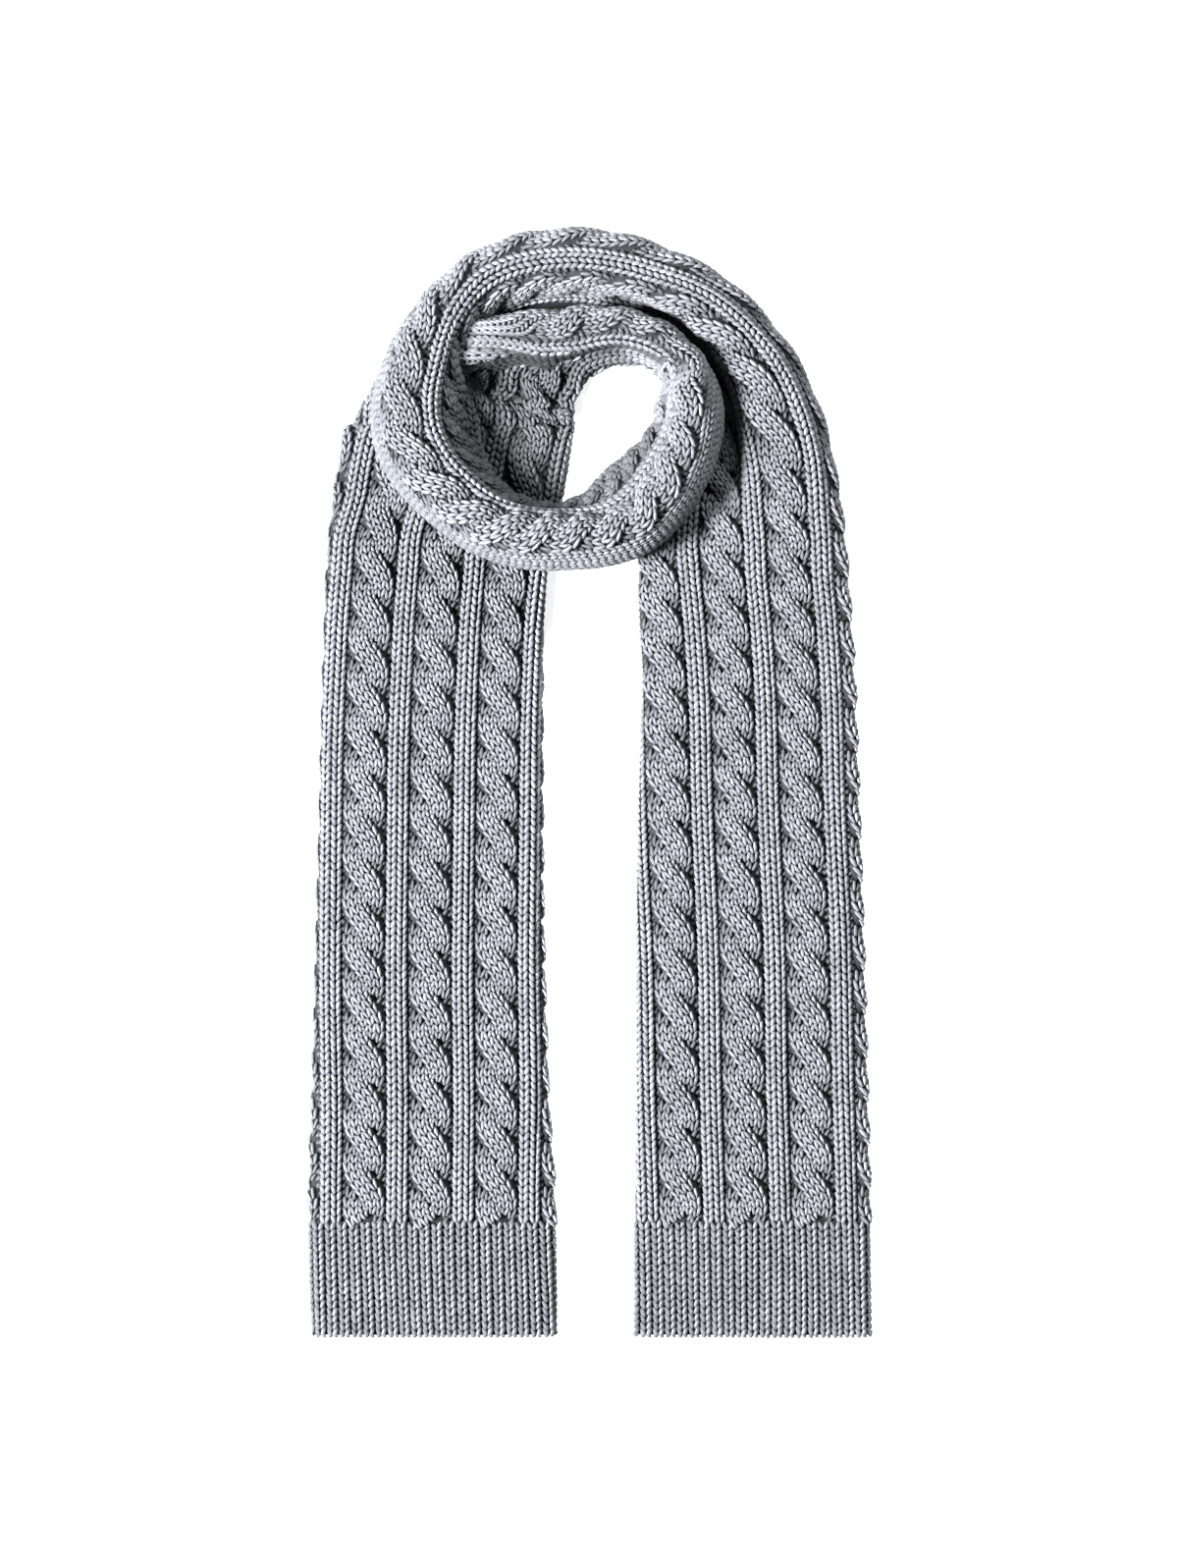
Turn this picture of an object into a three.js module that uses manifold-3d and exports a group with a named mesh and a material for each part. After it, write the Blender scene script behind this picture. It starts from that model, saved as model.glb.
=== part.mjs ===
// A chunky cable-knit scarf laid flat and wound once into a loop, with two tails side by side.
// Millimetres, +Z up, resting on z = 0. +Y runs from the hems to the top of the loop.
// The cloth is one long ribbon. It is followed from the left tail's hem, north up the left tail,
// one and a half turns clockwise round the neck hole, and south down the right tail.
// "Outer" is the ribbon's left-hand side on that way, which lies on the outside of the turns.
import * as THREE from "three";
import { mergeVertices } from "three/addons/utils/BufferGeometryUtils.js";
import Module from "manifold-3d";

const wasm = await Module();
wasm.setup();

// The knitted pattern across the cloth: a cable, a rib, a cable and so on, a cable at each side.
const CABLE_WIDTH = 24.6;
const RIB_WIDTH = 12.9;
const CABLES = 5;
// Each cable crosses over its neighbour strand once in this length.
const CROSSING = 24.9;
const CABLE_HEIGHT = 5;
const STRAND_HALF_WIDTH = 7.5;
// How far a strand moves to each side of the cable's middle, and how long it stays there.
const STRAND_SWING = 5.2;
const HOLD = 0.6;
// A strand is this share of the cable's height on average, and rises and sinks by this share.
const STRAND_LEVEL = 0.55;
const STRAND_RISE = 0.45;
const RIB_HEIGHT = 2;
const RIB_SLOPE = 4.3;
// The hems are knitted in narrow ribs, one raised wale to each of these.
const HEM_WALE = 6.75;
const HEM_HEIGHT = 2;
// The space left where two stretches of the ribbon meet or lie on each other.
const GAP = 0.3;
// The tallest thing on the cloth, and the room that a stretch lying over it leaves for it.
const CLEARANCE = CABLE_HEIGHT + GAP;
// A foot or heel that rests on the table is tucked under by this share of its height.
const TUCK = 0.5;
const CUT_BELOW = 2;
// The knitting's relief fades out within this height of the table, and where the cloth is
// upright, pulled over a turn, this share of it is left.
const RELIEF_FADE = 4;
const UPRIGHT_RELIEF = 0.4;
// Which of a section's control points are its brow and shelf, and how finely it is measured.
const BROW = 4;
const SHELF = 5;
const STEPS_PER_CONTROL = 20;
// Ribs and cables have points at these shares of their width, and turned stretches have
// evenly spaced ones.
const CABLE_SHARES = [0, 0.26, 0.5, 0.74, 1];
const RIB_SHARES = [0.33, 0.67];
const TURN_STEPS = 30;
// How far the outermost points stay inside the flat width, and the least that any two keep
// between them where the ribbon narrows.
const EDGE_ROOM = 4;
const CROWD = 0.8;
const MERGE_WITHIN = 0.0001;
// Moves the whole scarf so that the box round it is centred on x = 0 and y = 0.
const TO_CENTRE = [-1.11, 0.62, 0];

// The ribbon's sections, a row each. A section is a vertical plane through (x, y) in the
// direction angle. From the outer side it runs up from the table past side (the widest point),
// over crest and brow, down past shelf, to toe (the other edge) and the table again. R is the
// distance from (x, y) along that direction, Z the height. browV and shelfV are the places
// across the flat cloth, from its outer edge, that lie at brow and shelf, and fold is how much
// more cloth than that is folded away between them, up to where the fold opens out.
const COLUMNS = ["s", "x", "y", "angle", "sideR", "sideZ", "crestR", "crestZ", "browR",
  "browZ", "shelfR", "shelfZ", "toeR", "toeZ", "browV", "shelfV", "fold"];
const FOLD_END = 652;
const SECTIONS = [
  // The left tail, from its hem to the level of the neck hole's middle.
  [0, 12, -313, 180, 169, 3.5, 163, 7, 45, 7, 36, 6, 32.5, 3.5, 143, 152, 0],
  [65, 12, -248, 180, 171, 4.5, 163, 8.5, 50, 8.5, 38, 7.5, 33.5, 4.5, 140, 152, 0],
  [144, 12, -169, 180, 169, 5, 160, 9.5, 54, 9.5, 42, 8.4, 37.4, 5, 136, 148, 0],
  [284, 12, -29, 180, 166, 5, 157, 9.5, 57, 9.5, 44.5, 8.4, 40, 5, 133, 146, 0],
  [396, 12, 83, 180, 163, 5, 154, 9.5, 56, 9.5, 44, 8.4, 39.5, 5, 131, 144, 0],
  [447, 12, 134, 180, 160.5, 5, 151, 9.5, 54, 9.5, 41, 8.4, 36.5, 5, 129, 142, 0],
  [480, 12, 167, 180, 156, 5, 146, 9.5, 46, 9.5, 33, 8.4, 28, 5, 129, 142, 0],
  [516, 12, 203, 180, 147, 5, 136, 10, 42, 10, 28, 8.6, 22.8, 5, 124, 138, 0],
  // The inner turn, which climbs round the hole's left and top and folds over itself.
  [523.5, 12, 203, 172.5, 139, 5.3, 129, 11.5, 69, 14, 55, 9.6, 23.2, 4.9, 97, 112, 1],
  [531, 12, 203, 165, 131, 6, 121, 15, 96, 20, 82, 11, 24, 4.8, 70, 87, 3],
  [546, 12, 203, 150, 108, 10, 95, 30, 74, 31, 66, 11, 26, 4.8, 45, 67, 39],
  [563, 12, 203, 133, 84, 16, 68, 36, 51, 34, 47, 12, 28, 4.5, 33, 56, 70],
  [588, 12, 203, 109, 67, 20, 55, 39, 42, 36, 43, 15, 32.5, 4, 31, 52, 85],
  [618, 12, 203, 78, 61.5, 20, 52, 42, 43, 39, 44, 17, 37, 4, 30, 52, 85],
  [637, 12, 203, 60, 61, 20, 51, 44, 44, 42, 43.5, 19, 40, 4, 29, 52, 86],
  [652, 12, 203, 45, 61, 20, 51, 46, 45, 44, 43, 22, 40, 5, 28, 49, 89],
  // The ring's right side and front, where the fold has opened out under it.
  [677, 5, 203, 20, 69, 21, 57, 49, 47, 45, 40, 24, 35.5, 5, 20, 43, 0],
  [698, -4, 203, 0, 78, 22, 66, 50, 53, 46, 45, 24, 40, 5, 14, 38, 0],
  [761, -20, 203, -45, 90.5, 23, 78, 50, 65.5, 46, 49, 22, 38.5, 5, 18, 47, 0],
  [824, -20, 203, -90, 84, 24, 70, 50, 55, 46, 50, 28, 46.5, 12, 22, 41, 0],
  // The ring's left side.
  [886, -20, 203, -135, 88, 24, 74, 50, 57.5, 46, 50, 28, 45, 12, 29, 49, 0],
  [949, -20, 203, -180, 102.4, 23, 85, 50, 67.6, 46, 55, 28, 44, 13, 31, 53, 0],
  [981, -20, 203, -203, 101.6, 22, 87, 49, 70, 45, 60, 27, 52, 12, 32, 53, 0],
  // The outer band over the top, whose inner wall slopes down towards the inner turn.
  [1012, -20, 203, -225, 101, 20, 88, 46, 75.5, 42, 70, 26, 68, 12, 35, 52, 0],
  [1040, -20, 203, -245, 104, 18, 91, 41, 80, 38, 74, 24, 71, 10, 38, 53, 0],
  [1075, -20, 203, -270, 107, 16, 93, 38, 81, 37, 75.5, 24, 72, 8, 39.5, 54, 0],
  [1117, -20, 203, -300, 114, 14, 99, 37, 86, 34, 82, 15, 76, 6, 43, 60, 0],
  [1148, -20, 203, -322, 125.5, 13, 109, 36, 94, 32, 91, 12, 84, 5, 50, 67, 0],
  [1177, -20, 203, -341, 137, 12, 118, 33, 101, 28, 97, 10, 88, 5, 57, 74, 0],
  // The right tail, from the shoulder to its hem.
  [1201, -20, 194, -353, 149, 10, 131, 29, 108, 25, 101, 9.5, 80, 5, 62, 80, 0],
  [1226, -20, 173, -358, 157, 8, 139, 22, 113, 18, 101, 9.5, 64, 5, 65, 81, 0],
  [1259, -20, 145, -360, 162, 7, 150, 15, 114, 13, 88, 10.5, 52, 5, 67, 93, 0],
  [1293, -20, 111, -360, 165, 6, 155, 11.5, 75, 10.5, 55, 9, 47.5, 5, 108, 128, 0],
  [1349, -20, 55, -360, 168.5, 5, 159, 10, 66, 9.5, 54, 8.4, 49.8, 5, 121, 133, 0],
  [1404, -20, 0, -360, 170.5, 5, 161, 9.5, 65, 9.5, 53, 8.4, 48.4, 5, 124, 136, 0],
  [1517, -20, -113, -360, 174, 5, 165, 9.5, 63, 9.5, 51, 8.4, 46.5, 5, 130, 142, 0],
  [1652, -20, -248, -360, 177.4, 4.5, 169, 8.5, 62, 8.5, 50, 7.5, 46, 4.5, 134, 146, 0],
  [1717, -20, -313, -360, 178.5, 3.5, 172, 7, 58, 7, 49, 6, 45.4, 3.5, 139, 148, 0],
];

// The stretches of the ribbon, each one solid: where it starts and ends along the ribbon, how
// many steps it has, its knitting, and the stretches that it lies over.
const STRETCHES = [
  { name: "left_hem", from: 0, to: 65, steps: 5, knit: "hem", over: [] },
  { name: "left_tail", from: 65, to: 516, steps: 64, knit: "tail", over: [] },
  { name: "inner_turn", from: 516, to: 652, steps: 17, knit: "turn", over: [] },
  { name: "ring_right", from: 652, to: 761, steps: 13, knit: "turn",
    over: ["right_tail", "outer_band"] },
  { name: "ring_front", from: 761, to: 886, steps: 15, knit: "turn",
    over: ["left_tail", "right_tail"] },
  { name: "ring_left", from: 886, to: 1012, steps: 16, knit: "turn",
    over: ["left_tail", "inner_turn"] },
  { name: "outer_band", from: 1012, to: 1201, steps: 24, knit: "turn", over: ["inner_turn"] },
  { name: "right_tail", from: 1201, to: 1652, steps: 64, knit: "tail", over: [] },
  { name: "right_hem", from: 1652, to: 1717, steps: 5, knit: "hem", over: [] },
];

const CLOTH = { color: 0x9ea3ab, roughness: 0.95, metalness: 0 };

// A smooth value between table rows that never overshoots them (a monotone cubic).
function between(column, s) {
  const at = COLUMNS.indexOf(column);
  const rows = SECTIONS;
  let i = 0;
  while (i < rows.length - 2 && rows[i + 1][0] <= s) i += 1;
  const slope = (k) => (rows[k + 1][at] - rows[k][at]) / (rows[k + 1][0] - rows[k][0]);
  const tangent = (k) => {
    if (k === 0 || k === rows.length - 1) return 0;
    const before = slope(k - 1);
    const after = slope(k);
    return before * after <= 0 ? 0 : (2 * before * after) / (before + after);
  };
  const length = rows[i + 1][0] - rows[i][0];
  const t = THREE.MathUtils.clamp((s - rows[i][0]) / length, 0, 1);
  const rise = rows[i + 1][at] - rows[i][at];
  const start = tangent(i) * length;
  const end = tangent(i + 1) * length;
  return rows[i][at] + start * t + (3 * rise - 2 * start - end) * t * t +
    (start + end - 2 * rise) * t * t * t;
}

// The section at s: a smooth open curve over the cloth, in the section's own plane.
function sectionAt(s) {
  const row = Object.fromEntries(COLUMNS.slice(1).map((name) => [name, between(name, s)]));
  const roll = Math.SQRT1_2;
  const over = [
    [row.sideR - TUCK * row.sideZ, 0],
    [row.sideR, row.sideZ],
    [THREE.MathUtils.lerp(row.crestR, row.sideR, roll),
      THREE.MathUtils.lerp(row.sideZ, row.crestZ, roll)],
    [row.crestR, row.crestZ],
    [row.browR, row.browZ],
    [row.shelfR, row.shelfZ],
    [row.toeR, row.toeZ],
    [row.toeR + TUCK * row.toeZ, 0],
  ].map(([r, z]) => new THREE.Vector3(r, z, 0));
  if (s > FOLD_END) row.fold = 0;
  row.curve = new THREE.CatmullRomCurve3(over, false, "centripetal");
  row.curve.arcLengthDivisions = STEPS_PER_CONTROL * (over.length - 1);
  const lengths = row.curve.getLengths();
  row.length = lengths[lengths.length - 1];
  row.toBrow = lengths[BROW * STEPS_PER_CONTROL];
  row.toShelf = lengths[SHELF * STEPS_PER_CONTROL];
  row.outer = row.browV - row.toBrow;
  row.shelfV += row.fold;
  row.inner = row.shelfV + row.length - row.toShelf;
  return row;
}

// The place across the flat cloth at a distance along the section's curve. Between brow and
// shelf the cloth may be folded, so the distance there stands for more cloth.
function placeAt(row, distance) {
  if (distance < row.toBrow) return row.outer + distance;
  if (distance > row.toShelf) return row.shelfV + distance - row.toShelf;
  return THREE.MathUtils.mapLinear(distance, row.toBrow, row.toShelf, row.browV, row.shelfV);
}

function distanceAt(row, place) {
  if (place < row.browV) return place - row.outer;
  if (place > row.shelfV) return row.toShelf + place - row.shelfV;
  return THREE.MathUtils.mapLinear(place, row.browV, row.shelfV, row.toBrow, row.toShelf);
}

// How far a cable's strands stand out of the cloth, at a distance from its middle. Each moves
// from side to side, over the other one way and under it the other, and is wider for its slant.
function cableHeight(across, s) {
  let height = 0;
  for (const turn of [0, Math.PI]) {
    const phase = (Math.PI * s) / CROSSING + turn;
    const held = Math.tanh(HOLD * Math.cos(phase));
    const pull = (HOLD * Math.PI * Math.sin(phase)) / CROSSING / Math.tanh(HOLD);
    const slope = STRAND_SWING * (1 - held * held) * pull;
    const swing = (STRAND_SWING * held) / Math.tanh(HOLD);
    const offset = (across - swing) / (STRAND_HALF_WIDTH * Math.hypot(1, slope));
    const top = CABLE_HEIGHT * (STRAND_LEVEL + STRAND_RISE * Math.sin(phase));
    height = Math.max(height, top * Math.sqrt(Math.max(0, 1 - offset * offset)));
  }
  return height;
}

// How far the knitting stands out of the cloth, at a place across the flat cloth. Beyond the
// outer edge the cloth's plain back comes round.
function knitHeight(across, s, knit) {
  if (knit === "hem") return HEM_HEIGHT * Math.abs(Math.sin((Math.PI * across) / HEM_WALE));
  if (across < 0) return 0;
  const unit = CABLE_WIDTH + RIB_WIDTH;
  const place = THREE.MathUtils.euclideanModulo(across, unit);
  if (place < CABLE_WIDTH) return cableHeight(place - CABLE_WIDTH / 2, s);
  const toEdge = Math.min(place - CABLE_WIDTH, unit - place);
  return RIB_HEIGHT * Math.min(1, toEdge / RIB_SLOPE);
}

// The places across the flat cloth where a straight stretch has its points.
function placesAcross(row, knit) {
  const places = [];
  if (knit === "hem") {
    for (let v = HEM_WALE; v < row.inner; v += HEM_WALE / 2) places.push(v);
  } else {
    const unit = CABLE_WIDTH + RIB_WIDTH;
    for (let i = 0; i < CABLES; i += 1) {
      for (const share of CABLE_SHARES) places.push(i * unit + share * CABLE_WIDTH);
      for (const share of RIB_SHARES) places.push(i * unit + CABLE_WIDTH + share * RIB_WIDTH);
    }
  }
  return places.filter((v) => v > row.outer + EDGE_ROOM && v < row.inner - EDGE_ROOM);
}

// The distances along a section's curve where it has its points.
function distancesAcross(row, knit, places) {
  if (knit === "turn") {
    return Array.from({ length: TURN_STEPS + 1 }, (_, i) => (row.length * i) / TURN_STEPS);
  }
  const between = places.map((v, i) => THREE.MathUtils.clamp(distanceAt(row, v),
    CROWD * (i + 1), row.length - CROWD * (places.length - i)));
  return [0, ...between, row.length];
}

// Whether the point at a distance along the section's curve is inside the fold.
function isFolded(row, distance) {
  return row.fold > 0 && distance > row.toBrow && distance < row.toShelf;
}

// A closed solid along the ribbon: its top follows the sections, raised by
// raise(across, s, folded, facing), and its underside is flat at the height floor. facing is
// 1 where the cloth faces up and 0 where it is upright.
function ribbonSolid(from, to, steps, knit, raise, floor) {
  const places = placesAcross(sectionAt((from + to) / 2), knit);
  const rings = [];
  for (let k = 0; k <= steps; k += 1) {
    const s = THREE.MathUtils.lerp(from, to, k / steps);
    const row = sectionAt(s);
    const angle = THREE.MathUtils.degToRad(row.angle);
    const distances = distancesAcross(row, knit, places);
    rings.push(distances.map((distance, i) => {
      const end = i === 0 || i === distances.length - 1;
      const share = Math.min(1, distance / row.length);
      const point = row.curve.getPointAt(share);
      const tangent = row.curve.getTangentAt(share);
      const fade = floor === 0 ? THREE.MathUtils.smoothstep(point.y, 0, RELIEF_FADE) : 1;
      const folded = isFolded(row, distance);
      const lift = raise(placeAt(row, distance), s, folded, -tangent.x) * fade;
      const r = point.x + tangent.y * lift;
      const z = end ? floor : point.y - tangent.x * lift;
      return [row.x + r * Math.cos(angle), row.y + r * Math.sin(angle), z, r];
    }));
  }
  return closedGeometry(rings);
}

// Joins a row of sections of equally many points into one closed mesh with flat ends.
function closedGeometry(rings) {
  const n = rings[0].length;
  const positions = rings.flat().flatMap(([x, y, z]) => [x, y, z]);
  const index = [];
  for (let k = 0; k + 1 < rings.length; k += 1) {
    for (let i = 0; i < n; i += 1) {
      const a = k * n + i;
      const b = k * n + ((i + 1) % n);
      index.push(a, b, b + n, a, b + n, a + n);
    }
  }
  for (const k of [0, rings.length - 1]) {
    const outline = rings[k].map(([, , z, r]) => new THREE.Vector2(r, z));
    for (const [a, b, c] of THREE.ShapeUtils.triangulateShape(outline, [])) {
      const turn = THREE.ShapeUtils.area([outline[a], outline[b], outline[c]]);
      const corners = (turn > 0) === (k > 0) ? [a, b, c] : [a, c, b];
      index.push(...corners.map((i) => k * n + i));
    }
  }
  const geometry = new THREE.BufferGeometry();
  geometry.setAttribute("position", new THREE.Float32BufferAttribute(positions, 3));
  geometry.setIndex(index);
  return geometry;
}

function toSolid(geometry) {
  const merged = mergeVertices(geometry, MERGE_WITHIN);
  const triVerts = new Uint32Array(merged.index.array);
  const build = () => new wasm.Manifold(new wasm.Mesh({
    numProp: 3, vertProperties: new Float32Array(merged.attributes.position.array), triVerts,
  }));
  const solid = build();
  if (solid.volume() > 0) return solid;
  for (let i = 0; i < triVerts.length; i += 3) {
    [triVerts[i + 1], triVerts[i + 2]] = [triVerts[i + 2], triVerts[i + 1]];
  }
  return build();
}

function toGeometry(solid) {
  const mesh = solid.getMesh();
  const geometry = new THREE.BufferGeometry();
  geometry.setAttribute("position", new THREE.BufferAttribute(mesh.vertProperties, 3));
  geometry.setIndex(new THREE.BufferAttribute(mesh.triVerts, 1));
  geometry.computeVertexNormals();
  return geometry;
}

// The room that a stretch takes under another: its plain form, as thick as its tallest cable.
function roomOf(stretch) {
  const { from, to, steps, knit } = stretch;
  return toSolid(ribbonSolid(from, to, steps, knit, () => CLEARANCE, -CUT_BELOW));
}

function solidOf(stretch) {
  const { from, to, steps, knit } = stretch;
  const raise = (v, s, folded, facing) => {
    if (folded) return 0;
    return knitHeight(v, s, knit) * THREE.MathUtils.lerp(UPRIGHT_RELIEF, 1, Math.max(0, facing));
  };
  let solid = toSolid(ribbonSolid(from + GAP / 2, to - GAP / 2, steps, knit, raise, 0));
  for (const name of stretch.over) {
    solid = solid.subtract(roomOf(STRETCHES.find((other) => other.name === name)));
  }
  const bodies = solid.decompose().sort((a, b) => b.volume() - a.volume());
  return bodies[0];
}

const scarf = new THREE.Group();
scarf.position.set(...TO_CENTRE);
for (const stretch of STRETCHES) {
  const mesh = new THREE.Mesh(toGeometry(solidOf(stretch)), new THREE.MeshStandardMaterial(CLOTH));
  mesh.name = stretch.name;
  scarf.add(mesh);
}

export default scarf;
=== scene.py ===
# A chunky cable-knit scarf in light heathered grey, laid flat and wound once into a loop.
# The cloth is one long ribbon, followed from the left tail's hem, up, one and a half turns
# clockwise round the neck hole, and down the right tail. Metres, resting on z = 0.
import math

import bpy
import numpy as np
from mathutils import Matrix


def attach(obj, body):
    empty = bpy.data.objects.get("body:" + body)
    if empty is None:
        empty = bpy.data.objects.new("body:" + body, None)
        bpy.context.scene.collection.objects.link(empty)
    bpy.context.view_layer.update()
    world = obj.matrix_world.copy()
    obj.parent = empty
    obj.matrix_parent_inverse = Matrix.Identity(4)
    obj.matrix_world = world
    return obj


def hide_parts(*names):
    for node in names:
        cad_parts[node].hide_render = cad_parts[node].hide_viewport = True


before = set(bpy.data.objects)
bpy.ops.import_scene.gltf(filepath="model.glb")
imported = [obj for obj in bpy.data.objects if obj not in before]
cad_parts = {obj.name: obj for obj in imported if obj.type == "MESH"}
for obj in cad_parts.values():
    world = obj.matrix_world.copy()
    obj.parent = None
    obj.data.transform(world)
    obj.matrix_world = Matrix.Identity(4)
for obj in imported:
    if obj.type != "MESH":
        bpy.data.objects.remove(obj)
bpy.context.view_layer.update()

# The table and the light.
# A white table top seen from straight above, under a soft lamp at the left and a weak one
# behind at the right, as for a catalogue photograph. The table glows faintly, so that shadows
# don't grey it.
CAMERA_HEIGHT = 1.5
PHOTO_LENGTH = 0.8943  # the photograph's long side, on the table
SENSOR = 36.0
TABLE_GLOW = 0.75
camera = bpy.data.objects.new("camera", bpy.data.cameras.new("camera"))
camera.data.sensor_width = SENSOR
camera.data.lens = SENSOR * CAMERA_HEIGHT / PHOTO_LENGTH
camera.location = (-0.0019, 0.0006, CAMERA_HEIGHT)
bpy.context.collection.objects.link(camera)
bpy.context.scene.camera = camera

for name, place, size, power in (("lamp_left", (-1.78, -0.4, 1.86), 0.65, 610.0),
                                 ("lamp_right", (0.8, 1.3, 1.0), 0.6, 40.0)):
    lamp = bpy.data.objects.new(name, bpy.data.lights.new(name, "AREA"))
    lamp.data.size = size
    lamp.data.energy = power
    lamp.location = place
    aim = -np.array(place) / np.linalg.norm(place)
    lamp.rotation_euler = (math.acos(-aim[2]), 0, math.atan2(-aim[0], aim[1]))
    bpy.context.collection.objects.link(lamp)

world = bpy.data.worlds.new("studio")
world.use_nodes = True
world.node_tree.nodes["Background"].inputs["Color"].default_value = (0.96, 0.98, 1.0, 1)
world.node_tree.nodes["Background"].inputs["Strength"].default_value = 0.2
bpy.context.scene.world = world
bpy.context.scene.view_settings.view_transform = "Standard"

floor_mesh = bpy.data.meshes.new("table_top")
floor_mesh.from_pydata([(-3, -3, 0), (3, -3, 0), (3, 3, 0), (-3, 3, 0)], [], [(0, 1, 2, 3)])
floor = bpy.data.objects.new("table_top", floor_mesh)
bpy.context.collection.objects.link(floor)
floor_paint = bpy.data.materials.new("table_paint")
floor_paint.use_nodes = True
paint = floor_paint.node_tree.nodes["Principled BSDF"].inputs
paint["Base Color"].default_value = (0.86, 0.86, 0.87, 1)
paint["Roughness"].default_value = 0.9
paint["Emission Color"].default_value = (1, 1, 1, 1)
paint["Emission Strength"].default_value = TABLE_GLOW
floor_mesh.materials.append(floor_paint)

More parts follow.
